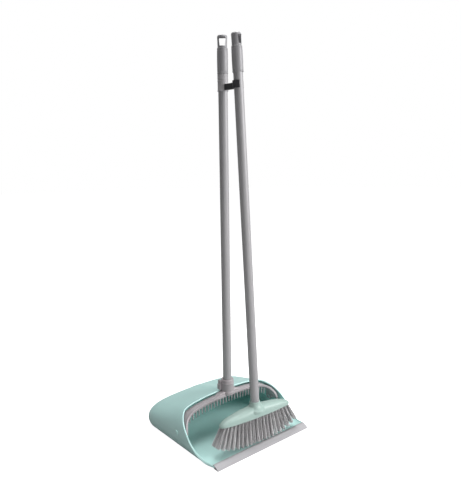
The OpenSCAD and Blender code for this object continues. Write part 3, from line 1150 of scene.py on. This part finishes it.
@dataclass
class Pole:
    """One coated tube with its grip and its turning cap.

    Attributes:
        name: First word of its pieces' names.
        body: The body of the tube and the grip.
        cap_body: The body of the cap.
        low: Lower end of the tube along its own axis.
        seam: Where the grip ends and the cap starts.
        turned: Turn of the cap's window about the axis, in degrees.
        place: Matrix from the pole's own axis to the frame.
        wall: Thickness of the tube.
        grip_l: Length of the grip.
        grip_t: Thickness of the grip.
        cap_l: Length of the cap.
    """

    name: str
    body: Body
    cap_body: Body
    low: float
    seam: float
    turned: float
    place: Matrix
    wall: float = 0.8
    grip_l: float = 55.0
    grip_t: float = 1.5
    cap_l: float = 27.0

    def tube(self) -> None:
        """The tube, with softly rounded ends."""
        inner, rounded, low, high = POLE_R - self.wall, POLE_R - 0.3, self.low, self.seam
        outside = [(POLE_R, z) for z in np.linspace(low + 0.4, high - 0.4, 30)]
        profile = [(inner, low), (rounded, low), *outside, (rounded, high), (inner, high)]
        maker = Maker()
        maker.turn(profile, closed=True, place=matrix(self.place), steps=FINE_STEPS)
        settle(maker.made(f"{self.name}_tube"), TUBE_GREY, self.body, [f"{self.name}_pole"])

    def grip(self) -> None:
        """The sleeve on top of the tube, with a ring at its foot and a fine groove at its head."""
        r, l, bore = POLE_R + self.grip_t, self.grip_l, POLE_R + SKIN
        outer = [
            (bore, 0), (r - 0.2, 0), (r + 0.3, 0.4), (r + 0.3, 1.8), (r - 0.4, 2.5), (r - 0.4, 3.3),
            (r, 3.9), (r + 0.1, l * 0.3), (r + 0.2, l * 0.5), (r, l * 0.8), (r - 0.1, l - 6.2),
            (r - 0.6, l - 5.9), (r - 0.6, l - 5.1), (r - 0.15, l - 4.8), (r - 0.2, l - 1.4),
            (r - 1.0, l), (bore, l),
        ]
        maker = Maker()
        place = matrix(self.place, shift(z=self.seam - l))
        maker.turn(filleted(outer, 0.5, 3), closed=True, place=place, steps=FINE_STEPS, edge=0.1)
        settle(maker.made(f"{self.name}_sleeve"), GRIP_GREY, self.body, [f"{self.name}_grip"])

    def cap(self) -> None:
        """The flared cap with a window through it, on a spigot that turns in the tube."""
        r, l, waist = POLE_R, self.cap_l, POLE_R + 0.1
        spigot, low = POLE_R - self.wall - RUN_CLEAR, -24
        lower = [(0, low), (spigot - 0.9, low), (spigot, low + 2), (spigot, 0.3), (r - 0.2, 0.3)]
        groove = [(waist, 0.8), (waist, 2.2), (r - 0.2, 2.5), (r - 0.2, 3.0), (waist, 3.3)]
        flare = [(waist + 0.6 * a * a / 49, 4 + (l - 9) * a / 7) for a in range(8)]
        upper = [(r + 0.5, l - 3.2), (r - 0.1, l - 1.6), (r - 1.3, l - 0.5), (r - 3.5, l), (0, l)]
        place = matrix(self.place, shift(z=self.seam), spin(self.turned, "Z"))
        maker = Maker()
        maker.turn([*lower, *groove, *flare, *upper], place=place, steps=FINE_STEPS, edge=0.15)
        piece = maker.made(f"{self.name}_hanger")
        right = [(5.75, 3.5), (7.5, l - 6.2), (5.6, l - 4.5)]
        window = filleted([(-5.75, 3.5), *right, *[(-x, z) for x, z in right[:0:-1]]], 1.2, 4)
        tool = Maker()
        tool.prism(window, [place @ matrix(shift(y=y)) @ STAND_UP for y in (-40.0, 40.0)])
        cut(piece, tool.made("window"))
        bevelled(piece, 0.35, 2)
        settle(piece, GRIP_GREY, self.cap_body, [f"{self.name}_hang_cap"])

    def build(self) -> None:
        """Build the pole's pieces."""
        self.tube()
        self.grip()
        self.cap()


@dataclass
class ClipCollar:
    """The ribbed collar on the pan's pole, and the charcoal clip that holds the broom.

    Attributes:
        low: Height of the collar's foot.
        long: Length of the collar.
        y: Place of the pan's pole, front to back.
        jaw_y: Place of the jaw's middle.
        lean: Lean of the broom in degrees.
        clip_z: Height of the clip's foot.
        clip_h: Height of the jaw.
        arm_w: Width of the arm.
        jaw_t: Thickness of the jaw.
        jaw_turn: Turn of the jaw's opening from straight ahead, in degrees.
        ribs: Ribs under the collar's top.
    """

    low: float = 813.0
    long: float = 38.0
    y: float = POLE_Y
    jaw_y: float = -63.66
    lean: float = LEAN
    clip_z: float = 815.0
    clip_h: float = 16.0
    arm_w: float = 11.0
    jaw_t: float = 3.0
    jaw_turn: float = 30.0
    ribs: int = 5

    def collar(self) -> None:
        """The collar, with a foot ring and five rounded ribs under its top."""
        r, l, bore, proud, apart = POLE_R + 1.2, self.long - 0.4, POLE_R + SKIN, 0.45, 3.4
        outer = [(bore, 0), (r + 0.5, 0), (r + 0.7, 0.4), (r + 0.7, 1.7), (r, 2.3)]
        for i in reversed(range(self.ribs)):
            foot = self.long - 3 - apart * i
            outer += [(r, foot - 0.2), (r + proud, foot + 0.2), (r + proud, foot + 1.0), (r, foot + 1.4)]
        outer += [(r, l - 0.4), (r - 0.4, l), (bore, l)]
        maker = Maker()
        place = matrix(shift(0, self.y, self.low))
        maker.turn(filleted(outer, 0.3, 2), closed=True, place=place, steps=FINE_STEPS)
        settle(maker.made("ribbed_collar", 30.0), LIGHT_GREY, Body.HANDLE, ["clip_collar"])

    def _leaning(self, piece: bpy.types.Object) -> None:
        """Lean the end at the broom's pole along it, and leave the end at the collar upright.

        Args:
            piece: The jaw, the arm or the tab.
        """
        middle, slope = self.clip_z + self.clip_h / 2, math.tan(math.radians(self.lean))
        still = self.y - 12
        for point in piece.data.vertices:
            y, z = point.co.y / MM, point.co.z / MM
            share = min(1.0, max(0.0, (still - y) / (still - self.jaw_y - 10)))
            point.co.y += slope * (z - middle) * share * MM

    def jaw(self) -> None:
        """The open jaw round the broom's pole, with turned-out tips."""
        inner, outer = POLE_R + RUN_CLEAR, POLE_R + self.jaw_t
        outside, inside = np.radians(np.linspace(-20, 200, 56)), np.radians(np.linspace(204, -24, 58))
        arc = [(outer * math.cos(a), outer * math.sin(a)) for a in outside]
        back = [(inner * math.cos(a), inner * math.sin(a)) for a in inside]
        tip = [(inner - 1.1, -5.6), (outer - 1.2, -7.2), (outer + 0.5, -6.6)]
        mirrored = [(-x, y) for x, y in reversed(tip)]
        turned = spin(self.jaw_turn, "Z")
        ends = (self.clip_z, self.clip_z + self.clip_h)
        stations = [matrix(shift(0, self.jaw_y, z), turned) for z in ends]
        maker = Maker()
        maker.prism([*arc, *mirrored, *back, *tip], stations)
        piece = maker.made("clip_jaw")
        bevelled(piece, 0.55)
        self._leaning(piece)
        settle(piece, CHARCOAL, Body.HANDLE, ["broom_clip"])

    def arm(self) -> None:
        """The arm from the jaw to the collar, waisted between them."""
        half, ring, waist = self.arm_w / 2, POLE_R + 2.0, 0.9
        near = self.jaw_y + POLE_R + self.jaw_t - 1.2
        run = self.y - math.sqrt(ring**2 - half**2) - near
        side = [(half - waist * math.sin(math.pi * s), near + run * s) for s in np.linspace(0, 1, 12)]
        seat = [(x, self.y - math.sqrt(ring**2 - x * x)) for x in np.linspace(half, -half, 11)[1:-1]]
        outline = [*side, *seat, *[(-x, y) for x, y in reversed(side)]]
        stations = [matrix(shift(z=z)) for z in (self.clip_z, self.clip_z + self.clip_h - 3)]
        maker = Maker()
        maker.prism(outline, stations)
        piece = maker.made("clip_arm")
        bevelled(piece, 0.8)
        self._leaning(piece)
        settle(piece, CHARCOAL, Body.HANDLE)

    def button(self) -> None:
        """The small thumb tab on top of the arm."""
        low = self.clip_z + self.clip_h - 3.4
        near = self.jaw_y + POLE_R + 1.6
        outline = filleted([(-2, near), (2, near), (2, near + 3.4), (-2, near + 3.4)], 0.9, 4)
        stations = [matrix(shift(z=low)), matrix(shift(z=low + 5.2))]
        maker = Maker()
        maker.prism(outline, stations, edge=0.3)
        piece = maker.made("clip_tab")
        bevelled(piece, 0.6)
        settle(piece, CHARCOAL, Body.HANDLE)

    def build(self) -> None:
        """Build the collar and the clip."""
        self.collar()
        self.jaw()
        self.arm()
        self.button()


# ---- the broom ---------------------------------------------------------------------------


@dataclass
class BroomHead:
    """The pale block with its neck, and four rows of split bristles.

    Attributes:
        place: Matrix from the broom's own axis to the frame.
        long: Length of the block.
        deep: Depth of the block.
        high: Height of the block at its middle.
        neck_h: Height of the neck above the block.
        strand_l: Length of a tuft.
        tufts: Tufts in a row.
        strands: Strands in a tuft.
        bundles: Bundles of strands that stick together in a tuft.
        rings: Rings of points along a strand.
        sides: Sides of a strand.
        end_share: Depth of the block's ends as a share of its middle.
    """

    place: Matrix
    long: float = 204.0
    deep: float = 36.0
    high: float = 24.0
    neck_h: float = 10.0
    strand_l: float = 61.6
    tufts: int = 20
    strands: int = 78
    bundles: int = 13
    rings: int = 7
    sides: int = 3
    end_share: float = 0.6

    def _section(self, share: float) -> Flat:
        """Size of the block's section.

        Args:
            share: Share of the half length.

        Returns:
            Half depth and height.
        """
        body = float(mix(1.0, self.end_share, abs(share) ** 1.9))
        fall = float(mix(1.0, 0.45, abs(share) ** 1.6))
        return (
            self.deep / 2 * body * math.sqrt(max(0.02, 1 - abs(share) ** 14)),
            self.high * fall * math.sqrt(max(0.05, 1 - abs(share) ** 10)),
        )

    def block(self) -> None:
        """The block and its neck, run together into one soft form."""
        maker = Maker()
        rows = []
        turn = np.linspace(0, math.pi, 33)
        side = np.sign(np.cos(turn)) * np.abs(np.cos(turn)) ** 0.7
        over = np.sin(turn) ** 0.6
        for share in -np.cos(np.linspace(0, math.pi, 61)):
            wide, tall = self._section(float(share))
            along = np.full(len(turn), share * self.long / 2)
            rows.append(np.stack([along, wide * side, tall * over], -1))
        maker.loft(np.array(rows))
        r, base, top = POLE_R, self.high - 8, self.high + self.neck_h
        neck = [
            (0, base - 4), (24, base - 4), (23, base + 0.5), (r + 8.5, base + 3.2),
            (r + 5.4, base + 6.4), (r + 3.6, base + 9.5), (r + 2.6, base + 13), (r + 2.1, top - 2.5),
            (r + 2.3, top - 2.2), (r + 2.3, top - 0.9), (r + 1.6, top), (0, top),
        ]
        maker.turn(neck)
        piece = maker.made("brush_head")
        step = piece.modifiers.new("one skin", "REMESH")
        step.mode, step.voxel_size = "VOXEL", 0.75 * MM
        soft = piece.modifiers.new("softened", "SMOOTH")
        soft.factor, soft.iterations = 0.5, 5
        applied(piece)
        seat, thread_r, thread_l = self.high + 2, 8.3, 21
        tool = Maker()
        for radius, low, high in ((r + 0.04, seat, seat + 40), (thread_r, seat - thread_l, seat + 1)):
            tool.turn([(0, low), (radius, low), (radius, high), (0, high)])
        cut(piece, tool.made("pole_seat"))
        piece.data.transform(Matrix(scaled(self.place)))
        settle(piece, PALE_MINT, Body.BROOM, ["brush_block"])

    def _strand(
        self, centre: np.ndarray, splay: float, long: float, random: np.random.Generator
    ) -> np.ndarray:
        """One waving strand, thinner towards its tip.

        Args:
            centre: Its bundle's place in the tuft, as shares of the tuft's radius.
            splay: Radius of the tuft at its tip.
            long: Length of the tuft.
            random: Source of the differences between strands.

        Returns:
            Its rings of points, from the root at the origin along Z.
        """
        t = np.linspace(0, 1, self.rings)[:, None]
        around = np.linspace(0, 2 * math.pi, self.sides, endpoint=False)
        root = centre * 1.7 + random.uniform(-0.45, 0.45, 2)
        tip = centre * splay + random.normal(0, 0.42, 2)
        length = long - abs(random.normal(0, 0.9))
        phase = random.uniform(0, 2 * math.pi, 2)
        size = random.uniform(0.1, 0.34)
        wave = size * np.sin(t * random.uniform(7, 13) + phase) * t
        line = np.c_[root + (tip - root) * t**1.25 + wave, t * length]
        thick = mix(0.27, 0.17, t) * random.uniform(0.85, 1.15)
        ring = np.stack([np.cos(around), np.sin(around), np.zeros(self.sides)], -1)
        return line[:, None, :] + ring[None] * thick[..., None]

    def _tuft(
        self, maker: Maker, place: np.ndarray, long: float, random: np.random.Generator
    ) -> None:
        """Add one tuft: strands in bundles that stick together, set out in a spiral.

        Args:
            maker: Takes the strands.
            place: Matrix from the tuft's root to the frame.
            long: Length of the tuft.
            random: Source of the differences between strands.
        """
        along = np.repeat(np.linspace(0, 1, self.rings), self.sides)
        tuft_tone = random.uniform(-0.12, 0.12)
        for b in range(self.bundles):
            angle = b * GOLDEN_TURN + random.uniform(-0.3, 0.3)
            reach = math.sqrt((b + 0.5) / self.bundles)
            centre = np.array([math.cos(angle), math.sin(angle)]) * reach
            bundle_tone = random.uniform(0.12, 0.88)
            splay = random.uniform(3.3, 4.9)
            for _ in range(self.strands // self.bundles):
                points = self._strand(centre, splay, long, random)
                tone = np.clip(bundle_tone + tuft_tone + random.normal(0, 0.1), 0, 1)
                maker.grid(moved(points, place), wrap_cols=True, edge=float(tone), along=along)
                last = maker.count - self.sides
                maker.faces.append(tuple(range(last, last + self.sides)))

    def row(self, index: int, name: str, node: str) -> None:
        """One row of tufts, which fans out towards both ends.

        Args:
            index: 0 at the front to 3 at the back.
            name: The piece's name.
            node: The CAD node it stands for.
        """
        random = np.random.default_rng(SEED + index)
        from_middle, margin, fan, shorter = index - 1.5, 9, 28, 13
        y = self.deep * from_middle * 0.19
        span = self.long / 2 - margin
        maker = Maker()
        for i in range(self.tufts):
            s = 2 * i / (self.tufts - 1) - 1
            place = matrix(
                self.place,
                shift(s * span, y * float(mix(1.0, 0.78, s * s)), 0),
                spin(180 + from_middle * 1.6, "X"),
                spin(fan * s * abs(s), "Y"),
            )
            self._tuft(maker, place, self.strand_l - shorter * s**4, random)
        settle(maker.made(name, 80.0), STRAND_GREY, Body.BROOM, [node])

    def build(self) -> None:
        """Build the head's pieces."""
        self.block()
        for index, name in enumerate(("front", "mid_front", "mid_back", "back")):
            self.row(index, f"bristles_{name}", f"tuft_row_{name}")


def scaled(place: Matrix) -> np.ndarray:
    """A matrix in millimetres turned into one in metres."""
    result = np.array(place)
    result[:3, 3] *= MM
    return result


# ---- the studio --------------------------------------------------------------------------


@dataclass
class Softbox:
    """A square area light.

    Attributes:
        name: The light's name.
        spot: Where it hangs, in metres.
        aim: What it points at, in metres.
        side: Its side in metres.
        watts: Its power.
    """

    name: str
    spot: Spot
    aim: Spot
    side: float
    watts: float

    def hang(self) -> None:
        """Put the light in the scene."""
        light = bpy.data.lights.new(self.name, "AREA")
        light.shape, light.size, light.energy = "SQUARE", self.side, self.watts
        lamp = bpy.data.objects.new(self.name, light)
        lamp.location = self.spot
        way = Vector(self.aim) - Vector(self.spot)
        lamp.rotation_euler = way.to_track_quat("-Z", "Y").to_euler()
        bpy.context.scene.collection.objects.link(lamp)


@dataclass
class Studio:
    """A pale floor, soft lights and the camera.

    Attributes:
        sky: Brightness of the room's light on the set.
        backdrop: Brightness of the room behind the set.
        spot: The camera's place in metres.
        yaw: Its heading from +Y towards +X, in degrees.
        pitch: How far it looks down, in degrees.
        roll: Its roll in degrees.
        lens: Focal length in millimetres.
        sensor: Width of the sensor in millimetres.
    """

    sky: float = 0.12
    backdrop: float = 1.0
    spot: Spot = (-0.7703, -0.9668, 0.6777)
    yaw: float = 39.38
    pitch: float = 10.48
    roll: float = 0.76
    lens: float = 37.9
    sensor: float = 36.0

    def room(self) -> None:
        """The light of the room: white behind the set, and softer on it."""
        world = bpy.data.worlds.new("studio room")
        bpy.context.scene.world = world
        graph = Graph(world)
        seen = graph.node("ShaderNodeLightPath", output="Is Camera Ray")
        strength = seen * (self.backdrop - self.sky) + self.sky
        white = {"Color": (1.0, 1.0, 1.0, 1.0), "Strength": strength}
        light = graph.node("ShaderNodeBackground", None, white)
        graph.node("ShaderNodeOutputWorld", None, {"Surface": light})

    def floor(self) -> None:
        """A wide round sheet of paper just under the set."""
        angle = np.linspace(0, 2 * math.pi, FINE_STEPS, endpoint=False)
        circle = np.stack([np.cos(angle), np.sin(angle), np.zeros(FINE_STEPS)], -1)
        below = np.array([0.0, 0.0, -0.3])
        maker = Maker()
        start = maker.grid(np.stack([circle * r + below for r in (400, 1500, 9000)]), wrap_cols=True)
        maker.faces.append(tuple(range(start, start + FINE_STEPS)))
        sheet = maker.made("paper_floor")
        sheet.data.materials.append(PAPER.material())

    def camera(self) -> None:
        """The camera."""
        yaw, pitch, roll = (math.radians(a) for a in (self.yaw, self.pitch, self.roll))
        level = math.cos(pitch)
        ahead = Vector((math.sin(yaw) * level, math.cos(yaw) * level, -math.sin(pitch)))
        right = Vector((math.cos(yaw), -math.sin(yaw), 0.0))
        up = right.cross(ahead)
        across = right * math.cos(roll) - up * math.sin(roll)
        over = right * math.sin(roll) + up * math.cos(roll)
        place = Matrix((across, over, -ahead)).transposed().to_4x4()
        place.translation = self.spot
        lens = bpy.data.cameras.new("camera")
        lens.lens, lens.sensor_width, lens.clip_start = self.lens, self.sensor, 0.01
        view = bpy.data.objects.new("camera", lens)
        view.matrix_world = place
        bpy.context.scene.collection.objects.link(view)
        bpy.context.scene.camera = view

    def build(self) -> None:
        """Set the studio up."""
        self.room()
        self.floor()
        for softbox in (
            Softbox("key", spot=(1.7, -2.2, 1.45), aim=(0.0, 0.0, 0.6), side=1.6, watts=84.0),
            Softbox("top", spot=(0.25, 0.35, 2.3), aim=(0.0, 0.05, 0.0), side=1.4, watts=42.0),
            Softbox("mouth", spot=(-0.55, -1.1, 0.35), aim=(0.0, 0.1, 0.02), side=0.4, watts=3.2),
        ):
            softbox.hang()
        self.camera()
        bpy.context.scene.view_settings.view_transform = "Standard"


# ---- all together ------------------------------------------------------------------------


def keep(node: str, finish: Finish) -> None:
    """Give its finish to a CAD node that stays as it is.

    Args:
        node: The CAD node.
        finish: What it is made of.
    """
    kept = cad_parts[node]
    for place in kept.material_slots:
        place.material = finish.material()
    if not kept.material_slots:
        kept.data.materials.append(finish.material())
    LOG.info("%s: kept from the frame", node)


def main() -> None:
    """Build the set."""
    logging.basicConfig(level=logging.INFO, format="%(name)s: %(message)s")
    Studio().build()
    Pan().build()
    CombYoke().build()
    upright = shift(y=POLE_Y)
    block_foot, block_turn = (0.0, -113.0, 70.12), -4.0
    leaning = shift(*block_foot) @ spin(-LEAN, "X") @ spin(block_turn, "Z")
    Pole("pan", Body.HANDLE, Body.PAN_CAP, low=93.6, seam=906.0, turned=-39.0, place=upright).build()
    ClipCollar().build()
    Pole("broom", Body.BROOM, Body.BROOM_CAP, low=26.0, seam=835.0, turned=23.0, place=leaning).build()
    BroomHead(leaning).build()
    keep("pan_pole_plug", CHARCOAL)
    keep("broom_thread_plug", CHARCOAL)


if __name__ == "__main__":
    main()
